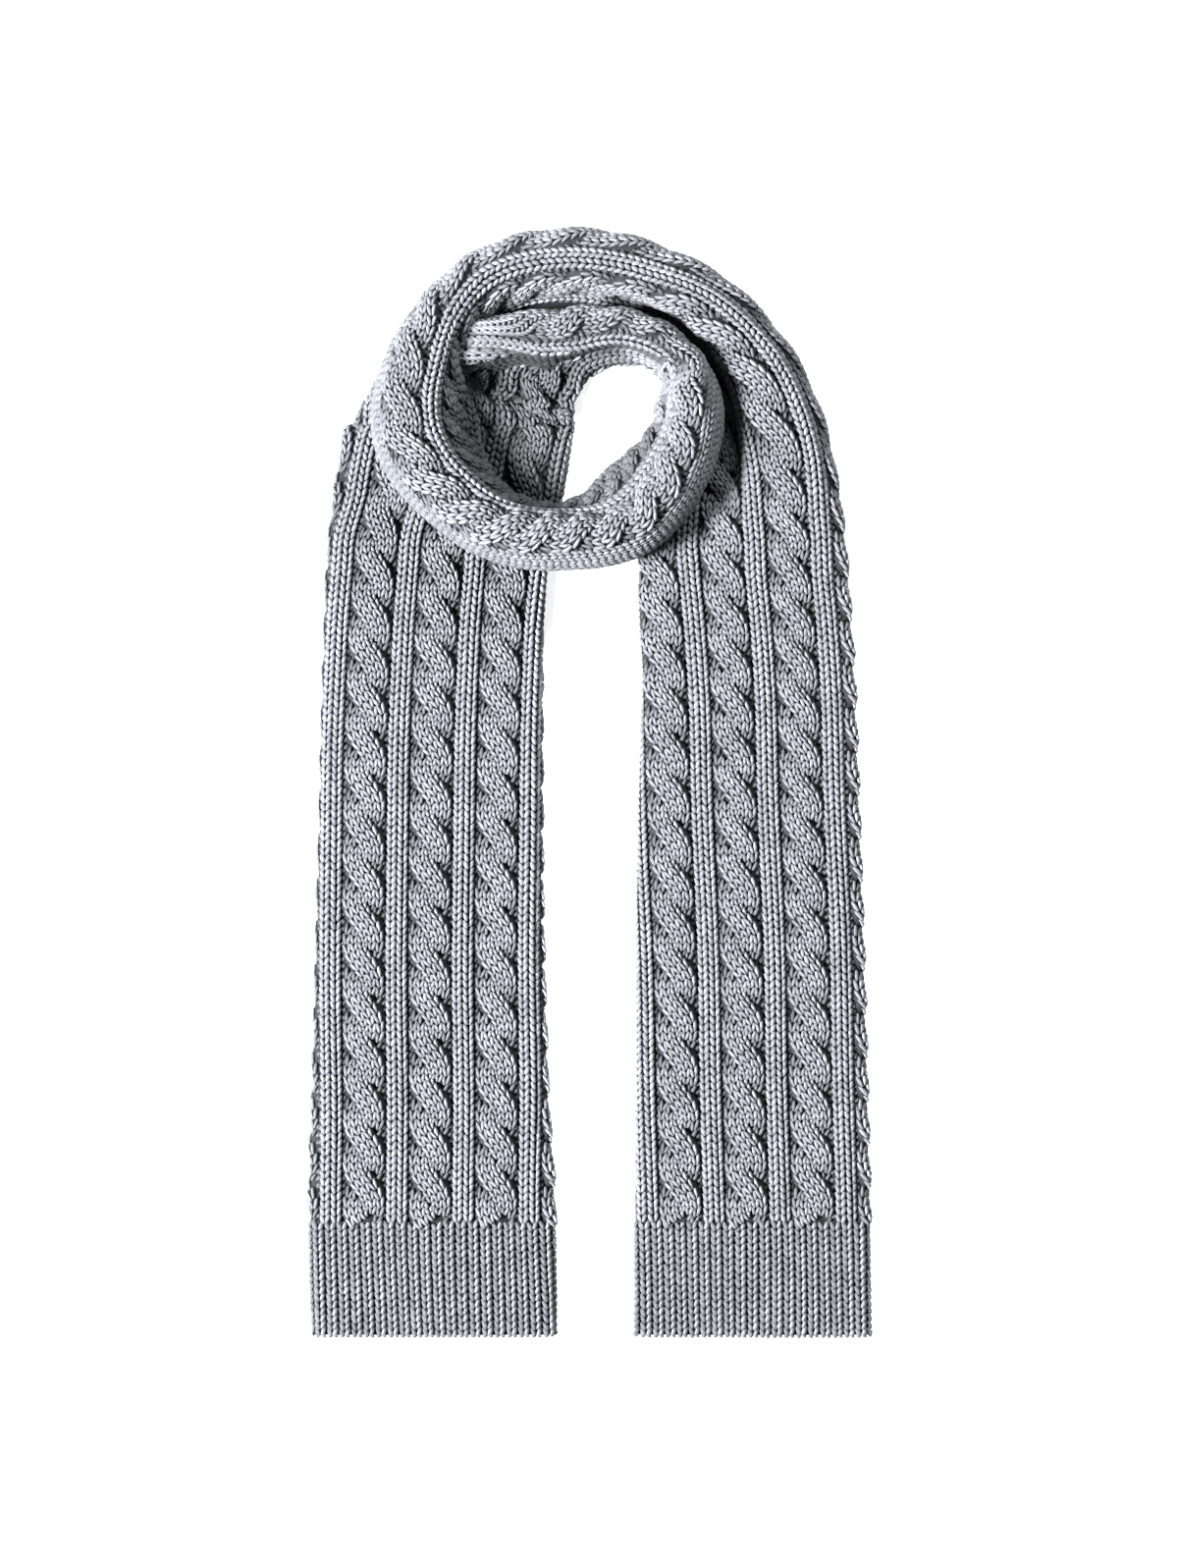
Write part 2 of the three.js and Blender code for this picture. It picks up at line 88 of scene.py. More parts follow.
# The ribbon's path.
# The cloth is knitted flat, 190 mm wide, then laid down the left side, wound and laid down
# the right side. Its sections are in millimetres: a row each, along the ribbon.
COLUMNS = ("s", "x", "y", "angle", "sideR", "sideZ", "crestR", "crestZ", "browR", "browZ",
           "shelfR", "shelfZ", "toeR", "toeZ", "browV", "shelfV", "fold")
FOLD_END = 652
SECTIONS = np.array([
    # The left tail, from its hem to the level of the neck hole's middle.
    (0, 12, -313, 180, 169, 3.5, 163, 7, 45, 7, 36, 6, 32.5, 3.5, 143, 152, 0),
    (65, 12, -248, 180, 171, 4.5, 163, 8.5, 50, 8.5, 38, 7.5, 33.5, 4.5, 140, 152, 0),
    (144, 12, -169, 180, 169, 5, 160, 9.5, 54, 9.5, 42, 8.4, 37.4, 5, 136, 148, 0),
    (284, 12, -29, 180, 166, 5, 157, 9.5, 57, 9.5, 44.5, 8.4, 40, 5, 133, 146, 0),
    (396, 12, 83, 180, 163, 5, 154, 9.5, 56, 9.5, 44, 8.4, 39.5, 5, 131, 144, 0),
    (447, 12, 134, 180, 160.5, 5, 151, 9.5, 54, 9.5, 41, 8.4, 36.5, 5, 129, 142, 0),
    (480, 12, 167, 180, 156, 5, 146, 9.5, 46, 9.5, 33, 8.4, 28, 5, 129, 142, 0),
    (516, 12, 203, 180, 147, 5, 136, 10, 42, 10, 28, 8.6, 22.8, 5, 124, 138, 0),
    # The inner turn, which climbs round the hole's left and top and folds over itself.
    (523.5, 12, 203, 172.5, 139, 5.3, 129, 11.5, 69, 14, 55, 9.6, 23.2, 4.9, 97, 112, 1),
    (531, 12, 203, 165, 131, 6, 121, 15, 96, 20, 82, 11, 24, 4.8, 70, 87, 3),
    (546, 12, 203, 150, 108, 10, 95, 30, 74, 31, 66, 11, 26, 4.8, 45, 67, 39),
    (563, 12, 203, 133, 84, 16, 68, 36, 51, 34, 47, 12, 28, 4.5, 33, 56, 70),
    (588, 12, 203, 109, 67, 20, 55, 39, 42, 36, 43, 15, 32.5, 4, 31, 52, 85),
    (618, 12, 203, 78, 61.5, 20, 52, 42, 43, 39, 44, 17, 37, 4, 30, 52, 85),
    (637, 12, 203, 60, 61, 20, 51, 44, 44, 42, 43.5, 19, 40, 4, 29, 52, 86),
    (652, 12, 203, 45, 61, 20, 51, 46, 45, 44, 43, 22, 40, 5, 28, 49, 89),
    # The ring's right side and front, where the fold has opened out under it.
    (677, 5, 203, 20, 69, 21, 57, 49, 47, 45, 40, 24, 35.5, 5, 20, 43, 0),
    (698, -4, 203, 0, 78, 22, 66, 50, 53, 46, 45, 24, 40, 5, 14, 38, 0),
    (761, -20, 203, -45, 90.5, 23, 78, 50, 65.5, 46, 49, 22, 38.5, 5, 18, 47, 0),
    (824, -20, 203, -90, 84, 24, 70, 50, 55, 46, 50, 28, 46.5, 12, 22, 41, 0),
    # The ring's left side.
    (886, -20, 203, -135, 88, 24, 74, 50, 57.5, 46, 50, 28, 45, 12, 29, 49, 0),
    (949, -20, 203, -180, 102.4, 23, 85, 50, 67.6, 46, 55, 28, 44, 13, 31, 53, 0),
    (981, -20, 203, -203, 101.6, 22, 87, 49, 70, 45, 60, 27, 52, 12, 32, 53, 0),
    # The outer band over the top, whose inner wall slopes down towards the inner turn.
    (1012, -20, 203, -225, 101, 20, 88, 46, 75.5, 42, 70, 26, 68, 12, 35, 52, 0),
    (1040, -20, 203, -245, 104, 18, 91, 41, 80, 38, 74, 24, 71, 10, 38, 53, 0),
    (1075, -20, 203, -270, 107, 16, 93, 38, 81, 37, 75.5, 24, 72, 8, 39.5, 54, 0),
    (1117, -20, 203, -300, 114, 14, 99, 37, 86, 34, 82, 15, 76, 6, 43, 60, 0),
    (1148, -20, 203, -322, 125.5, 13, 109, 36, 94, 32, 91, 12, 84, 5, 50, 67, 0),
    (1177, -20, 203, -341, 137, 12, 118, 33, 101, 28, 97, 10, 88, 5, 57, 74, 0),
    # The right tail, from the shoulder to its hem.
    (1201, -20, 194, -353, 149, 10, 131, 29, 108, 25, 101, 9.5, 80, 5, 62, 80, 0),
    (1226, -20, 173, -358, 157, 8, 139, 22, 113, 18, 101, 9.5, 64, 5, 65, 81, 0),
    (1259, -20, 145, -360, 162, 7, 150, 15, 114, 13, 88, 10.5, 52, 5, 67, 93, 0),
    (1293, -20, 111, -360, 165, 6, 155, 11.5, 75, 10.5, 55, 9, 47.5, 5, 108, 128, 0),
    (1349, -20, 55, -360, 168.5, 5, 159, 10, 66, 9.5, 54, 8.4, 49.8, 5, 121, 133, 0),
    (1404, -20, 0, -360, 170.5, 5, 161, 9.5, 65, 9.5, 53, 8.4, 48.4, 5, 124, 136, 0),
    (1517, -20, -113, -360, 174, 5, 165, 9.5, 63, 9.5, 51, 8.4, 46.5, 5, 130, 142, 0),
    (1652, -20, -248, -360, 177.4, 4.5, 169, 8.5, 62, 8.5, 50, 7.5, 46, 4.5, 134, 146, 0),
    (1717, -20, -313, -360, 178.5, 3.5, 172, 7, 58, 7, 49, 6, 45.4, 3.5, 139, 148, 0),
], float)
# What lies under the ribbon's outer and inner edges where it crosses itself.
REST_S = (640, 670, 700, 740, 800, 850, 949, 1000, 1040)
REST_OUTER = (0, 4, 11, 14.5, 14.5, 14.5, 14.5, 13, 0)
REST_INNER = (0, 0, 0, 0, 6, 12, 12, 10, 0)
TO_CENTRE = np.array((-1.11, 0.62, 0.0))
# Shallow creases: where each lies, along the ribbon and across the flat cloth, how far it
# reaches both ways, and how deep it is. The places below 0 are on the cloth's back. They are
# chosen for an uneven cloth, not read from the photograph.
CREASES = (
    (30, 60, 25, 20, 1.0),
    (150, 40, 60, 9, 1.2),
    (265, 118, 80, 12, 1.6),
    (400, 60, 50, 16, 1.5),
    (700, 30, 22, 10, 1.4),
    (790, 20, 30, 7, 1.7),
    (820, -25, 40, 7, 1.5),
    (860, 38, 26, 9, 1.5),
    (935, 12, 40, 8, 1.4),
    (965, -30, 35, 6, 1.5),
    (1090, 30, 45, 7, 1.2),
    (1240, 95, 30, 14, 1.8),
    (1330, 40, 60, 12, 1.5),
    (1470, 112, 70, 10, 1.5),
    (1600, 55, 60, 14, 1.3),
    (1690, 110, 20, 25, 1.0),
)
STATION_STEP = 1.5
ACROSS_STEPS = 180
CURVE_STEPS = 16
TUCK = 0.5
SUNK_RISE = 0.9
SUNK_TUCK = 0.8
UPRIGHT_RELIEF = 0.4


def between(column, s):
    """A smooth value between the rows, a cubic whose slopes are the harmonic means of the
    straight slopes on both sides, so that it never overshoots a row."""
    known, value = SECTIONS[:, 0], SECTIONS[:, COLUMNS.index(column)]
    slope = np.diff(value) / np.diff(known)
    same = slope[:-1] * slope[1:] > 0
    mean = 2 * slope[:-1] * slope[1:] / np.where(same, slope[:-1] + slope[1:], 1)
    tangent = np.concatenate(([0], np.where(same, mean, 0), [0]))
    i = np.clip(np.searchsorted(known, s, side="right") - 1, 0, len(known) - 2)
    length = known[i + 1] - known[i]
    t = np.clip((s - known[i]) / length, 0, 1)
    rise = value[i + 1] - value[i]
    start, end = tangent[i] * length, tangent[i + 1] * length
    return (value[i] + start * t + (3 * rise - 2 * start - end) * t ** 2
            + (start + end - 2 * rise) * t ** 3)


def smooth_through(points, steps):
    """A centripetal Catmull-Rom curve through points of shape (rows, controls, 2): each
    stretch is a cubic whose end slopes come from the square roots of the distances."""
    ends = np.concatenate((2 * points[:, :1] - points[:, 1:2], points,
                           2 * points[:, -1:] - points[:, -2:-1]), axis=1)
    p0, p1, p2, p3 = ends[:, :-3], ends[:, 1:-2], ends[:, 2:-1], ends[:, 3:]
    root = [np.sqrt(np.linalg.norm(b - a, axis=-1, keepdims=True))
            for a, b in ((p0, p1), (p1, p2), (p2, p3))]
    d0, d1, d2 = root
    m1 = ((p1 - p0) / d0 - (p2 - p0) / (d0 + d1) + (p2 - p1) / d1) * d1
    m2 = ((p2 - p1) / d1 - (p3 - p1) / (d1 + d2) + (p3 - p2) / d2) * d1
    t = (np.arange(steps) / steps)[None, None, :, None]
    a, b, c, d = (x[:, :, None] for x in (p1, m1, p2, m2))
    curve = (a + b * t + (3 * c - 3 * a - 2 * b - d) * t ** 2
             + (2 * a - 2 * c + b + d) * t ** 3)
    flat = curve.reshape(len(points), -1, 2)
    return np.concatenate((flat, points[:, -1:]), axis=1)


def ribbon_surface():
    """The cloth's plain outer surface on a grid of stations along the ribbon and even steps
    across it: each section is a smooth curve in its own upright plane."""
    s = np.arange(0, SECTIONS[-1, 0] + STATION_STEP, STATION_STEP)
    row = {name: between(name, s) for name in COLUMNS[1:]}
    roll = math.sqrt(0.5)
    controls = np.stack([np.stack(pair, -1) for pair in (
        (row["sideR"] - TUCK * row["sideZ"], 0 * s),
        (row["sideR"], row["sideZ"]),
        (row["crestR"] + roll * (row["sideR"] - row["crestR"]),
         row["sideZ"] + roll * (row["crestZ"] - row["sideZ"])),
        (row["crestR"], row["crestZ"]),
        (row["browR"], row["browZ"]),
        (row["shelfR"], row["shelfZ"]),
        (row["toeR"], row["toeZ"]),
        (row["toeR"] + TUCK * row["toeZ"], 0 * s))], axis=1)
    curve = smooth_through(controls, CURVE_STEPS)
    run = np.cumsum(np.linalg.norm(np.diff(curve, axis=1), axis=-1), axis=1)
    run = np.concatenate((np.zeros((len(s), 1)), run), axis=1)
    to_brow, to_shelf, length = run[:, 4 * CURVE_STEPS], run[:, 5 * CURVE_STEPS], run[:, -1]
    shelf = row["shelfV"] + np.where(s > FOLD_END, 0, row["fold"])
    places = np.stack((row["browV"] - to_brow, row["browV"], shelf,
                       shelf + length - to_shelf), axis=1)
    shares = np.stack((0 * s, to_brow / length, to_shelf / length, 0 * s + 1), axis=1)
    share = run / run[:, -1:] + 2 * np.arange(len(s))[:, None]
    wanted = (np.linspace(0, 1, ACROSS_STEPS + 1)[None] + 2 * np.arange(len(s))[:, None])
    r, z = (np.interp(wanted.ravel(), share.ravel(), curve[..., k].ravel())
            .reshape(wanted.shape) for k in (0, 1))
    # An edge that would sink into the layer below tucks under and rests on it.
    across = np.linspace(0, 1, ACROSS_STEPS + 1)[None]
    for side, rest, inward in ((across < 0.5, REST_OUTER, -1), (across >= 0.5, REST_INNER, 1)):
        sunk = np.clip(np.interp(s, REST_S, rest)[:, None] - z, 0, None) * side
        z, r = z + SUNK_RISE * sunk, r + inward * SUNK_TUCK * sunk
    angle = np.radians(row["angle"])[:, None]
    x = row["x"][:, None] + r * np.cos(angle)
    y = row["y"][:, None] + r * np.sin(angle)
    points = np.stack((x, y, z), -1) + TO_CENTRE
    along, over = np.gradient(points, axis=0), np.gradient(points, axis=1)
    out = np.cross(along, over)
    out /= np.linalg.norm(out, axis=-1, keepdims=True) + 1e-9
    middle = out[:, ACROSS_STEPS // 3, 2]
    return points, out * np.sign(np.median(middle)), places, shares


SURFACE, OUTWARD, PLACES, SHARES = ribbon_surface()


def at_station(values, s):
    """Values known at each station, read in a straight line between stations."""
    i = np.clip(np.asarray(s, float) / STATION_STEP, 0, len(values) - 1.001)
    low = i.astype(int)
    part = (i - low)[..., None]
    return values[low] * (1 - part) + values[low + 1] * part


def share_of(across, s):
    """How far along its section a place across the flat cloth lies, from 0 to 1: straight
    lines from the outer edge to the brow, across the fold to the shelf, and to the inner edge."""
    known, to = at_station(PLACES, s), at_station(SHARES, s)
    share = np.zeros(np.broadcast(across, s).shape)
    for k in range(3):
        part = (across - known[..., k]) / (known[..., k + 1] - known[..., k])
        share = share + np.clip(part, 0, 1) * (to[..., k + 1] - to[..., k])
    return share


def place_at(share, s):
    """The place across the flat cloth at a share of the section: share_of turned round."""
    known, to = at_station(PLACES, s), at_station(SHARES, s)
    place = known[..., 0]
    for k in range(3):
        part = (share - to[..., k]) / (to[..., k + 1] - to[..., k])
        place = place + np.clip(part, 0, 1) * (known[..., k + 1] - known[..., k])
    return place


def crease_depth(across, s):
    """How deep the creases are at a place: a sum of bells, exp(-distance squared)."""
    return sum(depth * np.exp(-((s - at) / along) ** 2 - ((across - place) / wide) ** 2)
               for at, place, along, wide, depth in CREASES)


def on_cloth(across, s, lift):
    """Points in metres at places across the flat cloth and along the ribbon, raised from the
    plain surface by lift: the grid is read between its four nearest points. Upright cloth is
    pulled flatter, so that only a share of the lift is left there."""
    i = np.clip(s / STATION_STEP, 0, len(SURFACE) - 1.001)
    j = share_of(across, s) * (ACROSS_STEPS - 0.001)
    i, j = np.broadcast_arrays(i, j)
    i0, j0 = i.astype(int), j.astype(int)
    fi, fj = (i - i0)[..., None], (j - j0)[..., None]
    found = []
    for grid in (SURFACE, OUTWARD):
        low = grid[i0, j0] * (1 - fj) + grid[i0, j0 + 1] * fj
        high = grid[i0 + 1, j0] * (1 - fj) + grid[i0 + 1, j0 + 1] * fj
        found.append(low * (1 - fi) + high * fi)
    flatter = UPRIGHT_RELIEF + (1 - UPRIGHT_RELIEF) * np.clip(found[1][..., 2:], 0, 1)
    raised = flatter * lift[..., None] - crease_depth(across, s)[..., None]
    return (found[0] + found[1] * raised) / 1000


# The cloth itself.
# Knitted in one piece: five cables with ribs of two wales between them, and purl stitches
# sunk between cable and rib. Each stretch of the ribbon is a thin wall, whose edges curl
# under, with the cables and ribs raised on its outer side. The stitches lie on it.
CABLE_WIDTH = 24.6
RIB_WIDTH = 12.9
UNIT = CABLE_WIDTH + RIB_WIDTH
CROSSING = 24.9
CABLE_HEIGHT = 5.0
STRAND_HALF_WIDTH = 7.5
STRAND_SWING = 5.2
HOLD = 0.6
STRAND_LEVEL = 0.55
STRAND_RISE = 0.45
RIB_HEIGHT = 2.0
RIB_SLOPE = 4.3
HEM_WALE = 6.75
HEM_HEIGHT = 2.0
CLOTH_WALL = 3.0
YARN_DEPTH = 1.3
CURL = 14.0
EDGE_FADE = 20
WALL_STEP = 2.4
WALL_COLUMNS = 92
SHADE_FROM = 5
# Painted shadow on the cloth inside the fold, darker than the rest of its painted shade.
FOLD_SHADE = 1.1


def strand(s, turn):
    """Where a cable's strand lies, from the cable's middle, how high its top is, and how much
    wider it is than upright for its slant: a cosine, held to its ends by tanh, a sine of the
    same turn, once round in two crossings, and the length of the slope's step."""
    phase = math.pi * s / CROSSING + turn
    held = np.tanh(HOLD * np.cos(phase))
    slope = STRAND_SWING * (1 - held ** 2) * HOLD * np.sin(phase) * math.pi / CROSSING
    slant = np.sqrt(1 + (slope / math.tanh(HOLD)) ** 2)
    return (STRAND_SWING * held / math.tanh(HOLD),
            CABLE_HEIGHT * (STRAND_LEVEL + STRAND_RISE * np.sin(phase)), slant)


def strand_height(place, s, turn):
    """How high a strand's round back stands at a place from the cable's middle: a half
    ellipse."""
    middle, top, slant = strand(s, turn)
    offset = (place - middle) / (STRAND_HALF_WIDTH * slant)
    return top * np.sqrt(np.clip(1 - offset ** 2, 0, 1))


def knit_height(across, s):
    """How far the knitting stands out: the higher of two round strands in a cable, and a low
    flat-topped ridge in a rib."""
    place = np.mod(across, UNIT)
    from_middle = place - CABLE_WIDTH / 2
    cable = np.maximum(strand_height(from_middle, s, 0), strand_height(from_middle, s, math.pi))
    to_edge = np.minimum(place - CABLE_WIDTH, UNIT - place)
    ridge = RIB_HEIGHT * np.clip(to_edge / RIB_SLOPE, 0, 1)
    return np.where(across < 0, 0, np.where(place < CABLE_WIDTH, cable, ridge))


def hem_height(across, s):
    """The narrow ribs of a hem: the upper half of a sine across the cloth."""
    return HEM_HEIGHT * np.abs(np.sin(np.pi * across / HEM_WALE)) + 0 * s


def cloth_wall(name, start, end, height, inner_curl):
    """A closed thin wall: the outer side is the raised surface, the inner side the plain
    surface moved in by the wall, and both turn under by the curl at the edges. inner_curl is
    1 where the inner edge turns under the cloth and -1 where it lies on towards the hole."""
    steps = max(4, int(round((end - start) / WALL_STEP)))
    s = np.linspace(start, end, steps + 1)[:, None]
    share = np.linspace(0, 1, WALL_COLUMNS + 1)[None]
    across = place_at(share, s)
    folded = (between("fold", s) > 1) & (s <= FOLD_END)
    inside_fold = folded & (share > at_station(SHARES, s)[..., 1]) & (
        share < at_station(SHARES, s)[..., 2])
    fade = np.clip(np.minimum(share, 1 - share) * EDGE_FADE, 0, 1) * np.where(inside_fold, 0, 1)
    raised = (height(across, s) - YARN_DEPTH) * fade
    outside = on_cloth(across, s, raised)
    inside = on_cloth(across, s, np.full(across.shape, -YARN_DEPTH - CLOTH_WALL) * fade - 0.4)
    tucks = np.array((1.0, 0.5))[None, :, None] * CURL / 1000
    angle = np.radians(between("angle", s))
    towards = np.stack((np.cos(angle), np.sin(angle), 0 * s), -1)
    walls = []
    for grid, height_add in ((outside, 0.0), (inside, CLOTH_WALL / 1000)):
        left = grid[:, :1] - towards * tucks
        right = grid[:, -1:] + towards * tucks[:, ::-1] * inner_curl
        left[..., 2] += height_add
        right[..., 2] += height_add
        walls.append(np.concatenate((left, grid, right), axis=1))
    wall = closed_wall(name, *walls)
    # Painted shade: the cloth between the stitches is darkened as if in their shade, but not at
    # its curled edges, and darker still where it hangs inside the fold, standing in for the
    # fold's shadow.
    shaded = np.zeros((2, *walls[0].shape[:2]), np.float32)
    shaded[:, :, SHADE_FROM:-SHADE_FROM if inner_curl > 0 else None] = 1
    shaded[:, :, 2:-2][:, inside_fold] = FOLD_SHADE
    wall.data.attributes.new("shaded", "FLOAT", "POINT").data.foreach_set(
        "value", shaded.ravel())
    return wall


def closed_wall(name, outside, inside):
    """Joins an outer and an inner grid of the same size into one closed mesh: both grids'
    faces, and a strip of faces round their common border."""
    rows, columns = outside.shape[:2]
    index = np.arange(rows * columns).reshape(rows, columns)
    a, b, c, d = index[:-1, :-1], index[1:, :-1], index[1:, 1:], index[:-1, 1:]
    top = np.stack((a, b, c, d), -1).reshape(-1, 4)
    below = top[:, ::-1] + rows * columns
    border = np.concatenate((index[0, :-1], index[:-1, -1], index[-1, :0:-1], index[:0:-1, 0]))
    following = np.roll(border, -1)
    rim = np.stack((border, following, following + rows * columns, border + rows * columns), -1)
    faces = np.concatenate((top, below, rim))
    return make_mesh(name, np.concatenate((outside.reshape(-1, 3), inside.reshape(-1, 3))), faces)


def make_mesh(name, points, faces):
    """Puts arrays of points and of equal-sided faces into a smooth-shaded object, turned so
    that its faces point outwards."""
    points = points.reshape(-1, 3)
    sides = faces.shape[1]
    corner = points[faces]
    volume = np.einsum("ij,ij->i", corner[:, 0], np.cross(corner[:, 1], corner[:, 2])).sum()
    if volume < 0:
        faces = faces[:, ::-1]
    mesh = bpy.data.meshes.new(name)
    mesh.vertices.add(len(points))
    mesh.vertices.foreach_set("co", points.ravel())
    mesh.loops.add(faces.size)
    mesh.loops.foreach_set("vertex_index", faces.ravel().astype(np.int32))
    mesh.polygons.add(len(faces))
    mesh.polygons.foreach_set("loop_start", np.arange(0, faces.size, sides, dtype=np.int32))
    mesh.update(calc_edges=True)
    mesh.validate()
    mesh.shade_smooth()
    piece = bpy.data.objects.new(name, mesh)
    bpy.context.collection.objects.link(piece)
    return piece


class Socket:
    """A shader output that adds Math nodes when it is used in an expression."""

    def __init__(self, tree, link):
        self.tree, self.link = tree, link

    def node(self, kind, settings=(), inputs=(), output=0):
        """Adds a node: its settings first, then the values or links of its sockets."""
        node = self.tree.nodes.new(kind)
        for key, value in dict(settings).items():
            setattr(node, key, value)
        for key, value in dict(inputs).items():
            if isinstance(value, Socket):
                self.tree.links.new(value.link, node.inputs[key])
            else:
                node.inputs[key].default_value = value
        return Socket(self.tree, node.outputs[output])

    def math(self, operation, *values):
        return self.node("ShaderNodeMath", {"operation": operation}, enumerate(values))

    def __add__(self, other):
        return self.math("ADD", self, other)

    __radd__ = __add__

    def __sub__(self, other):
        return self.math("SUBTRACT", self, other)

    def __rsub__(self, other):
        return self.math("SUBTRACT", other, self)

    def __mul__(self, other):
        return self.math("MULTIPLY", self, other)

    __rmul__ = __mul__

    def __truediv__(self, other):
        return self.math("DIVIDE", self, other)

    def __rtruediv__(self, other):
        return self.math("DIVIDE", other, self)

    def __pow__(self, other):
        return self.math("POWER", self, other)

    def mixed(self, low, high):
        """The colour low where this value is 0 and high where it is 1."""
        node = self.tree.nodes.new("ShaderNodeMix")
        node.data_type = "RGBA"
        self.tree.links.new(self.link, node.inputs[0])
        for place, colour in ((6, low), (7, high)):
            if isinstance(colour, Socket):
                self.tree.links.new(colour.link, node.inputs[place])
            else:
                node.inputs[place].default_value = (*colour, 1)
        return Socket(self.tree, node.outputs[2])


def wool(name, dark, light):
    """Matt heathered wool: fibres of two greys mixed by fine noise, duller in patches."""
    material = bpy.data.materials.new(name)
    material.use_nodes = True
    tree = material.node_tree
    shader = tree.nodes["Principled BSDF"]
    start = Socket(tree, None)
    where = start.node("ShaderNodeTexCoord", output=3)
    fibre = start.node("ShaderNodeTexNoise", {},
                       {"Vector": where, "Scale": 900.0, "Detail": 3.0, "Roughness": 0.7})
    patch = start.node("ShaderNodeTexNoise", {},
                       {"Vector": where, "Scale": 60.0, "Detail": 2.0})
    mix = (fibre - 0.5) * 1.9 + 0.5 + (patch - 0.5) * 0.6
    clamped = mix.math("MINIMUM", mix.math("MAXIMUM", mix, 0.0), 1.0)
    tree.links.new(clamped.mixed(dark, light).link, shader.inputs["Base Color"])
    bump = start.node("ShaderNodeBump", {}, {"Height": fibre, "Strength": 0.5,
                                             "Distance": 0.0006})
    tree.links.new(bump.link, shader.inputs["Normal"])
    shader.inputs["Roughness"].default_value = 0.95
    shader.inputs["Specular IOR Level"].default_value = 0.15
    return material


def times(material, factor):
    """Multiplies a material's base colour by a grey factor, a socket."""
    tree = material.node_tree
    shader = tree.nodes["Principled BSDF"]
    shade = tree.nodes.new("ShaderNodeMix")
    shade.data_type = "RGBA"
    shade.blend_type = "MULTIPLY"
    shade.inputs[0].default_value = 1.0
    tree.links.new(shader.inputs["Base Color"].links[0].from_socket, shade.inputs[6])
    tree.links.new(factor.mixed((0, 0, 0), (1, 1, 1)).link, shade.inputs[7])
    tree.links.new(shade.outputs[2], shader.inputs["Base Color"])


def read_from(material, attribute):
    """A number stored on the mesh, as a socket."""
    return Socket(material.node_tree, None).node(
        "ShaderNodeAttribute", {"attribute_name": attribute}, output=2)


DARK_GREY = (0.18, 0.188, 0.212)
LIGHT_GREY = (0.462, 0.48, 0.522)
CLOTH_WOOL = wool("cloth_between_the_stitches", DARK_GREY, LIGHT_GREY)
CLOTH_WOOL.node_tree.nodes["Principled BSDF"].inputs["Specular IOR Level"].default_value = 0
# Painted shade: the cloth's colour is multiplied by 0.6 at its curled edges and by far less where
# it is marked shaded.
times(CLOTH_WOOL, 0.6 - 0.54 * read_from(CLOTH_WOOL, "shaded"))
# Each stretch: its name, where it starts and ends along the ribbon, its knitting, and how
# wide the cloth is that shows or turns under there, the rest being folded away.
STRETCHES = (
    ("left_hem", 0, 65, hem_height, 175),
    ("left_tail", 65, 516, knit_height, 170),
    ("inner_turn", 516, 652, knit_height, 140),
    ("ring_right", 652, 761, knit_height, 145),
    ("ring_front", 761, 886, knit_height, 150),
    ("ring_left", 886, 1012, knit_height, 150),
    ("outer_band", 1012, 1201, knit_height, 127),
    ("right_tail", 1201, 1652, knit_height, 165),
    ("right_hem", 1652, 1717, hem_height, 173),
)
cloths, flats = {}, {}
for name, start, end, height, width in STRETCHES:
    flats[name] = (width / 1000, (end - start) / 1000)
    cloth = cloth_wall(name + "_cloth", start, end, height, -1 if name == "outer_band" else 1)
    cloth.data.materials.append(CLOTH_WOOL)
    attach(cloth, "root")
    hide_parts(name)
    cloths[name] = cloth

# The stitches.
# Plied yarn, about 2.3 mm thick. Each knit stitch shows two slanting legs that meet at its
# foot, and the next stitch up comes out between them. A leg is one small round-bodied piece
# whose two ends dip into the cloth.
ROW = 4.15
RIB_WALE = 6.3
CABLE_WALE = 4.3
PLAIN_WALE = 4.8
# Painted shade that dims the plain wales on the rolled-over edge.
PLAIN_PAINTED_SHADE = 0.84
PLAIN_WALES = 12
FOLD_WALES = 5
FOLD_WIDE = 40
# Painted shadow on the stitches of the wall that hangs under the inner turn's fold.
FOLD_PAINTED_SHADOW = 0.4
EDGE_ROOM = 1.0
# How wide a leg is, and how far its foot and its head lie from the wale's middle.
CABLE_LEG = (2.05, 0.3, 2.05)
RIB_LEG = (2.6, 0.5, 2.55)
PLAIN_LEG = (2.1, 0.4, 2.0)
LEG_SIDES = 5
LEG_LENGTH = 1.38
LEG_ALONG = np.array((-0.5, -0.3, 0.0, 0.3, 0.5))
LEG_GIRTH = np.array((0.1, 0.85, 1.0, 0.85, 0.1))
LEG_ARCH = np.array((-1.1, 0.2, 0.5, 0.0, -1.4))
# Painted shade: how light each ring and each side of a leg is painted, darker where it sinks into
# the cloth and on its underside.
RING_PAINTED_SHADE = np.array((0.3, 0.88, 1.0, 0.88, 0.2))
SIDE_PAINTED_SHADE = np.array((1.0, 0.8, 0.35, 0.35, 0.8))
TUCKED = 0.3
DRIFT = 0.5
UNEVEN_PLACE = 0.16
LEG_OFFSET = 0.2
GIRTH_RANGE = (0.88, 1.1)
DULLEST_LEG = 0.76
# Painted shade: deep in the loop, where the walls round it keep out the light, the stitches'
# colour is darkened.
LOOP_MIDDLE = (-20.0, 203.0)
LOOP_RADIUS = 62.0
LOOP_DEPTH = 40.0
LOOP_SHADE = 0.42
LOOP_EDGE = 8
LOOP_FADE = 12


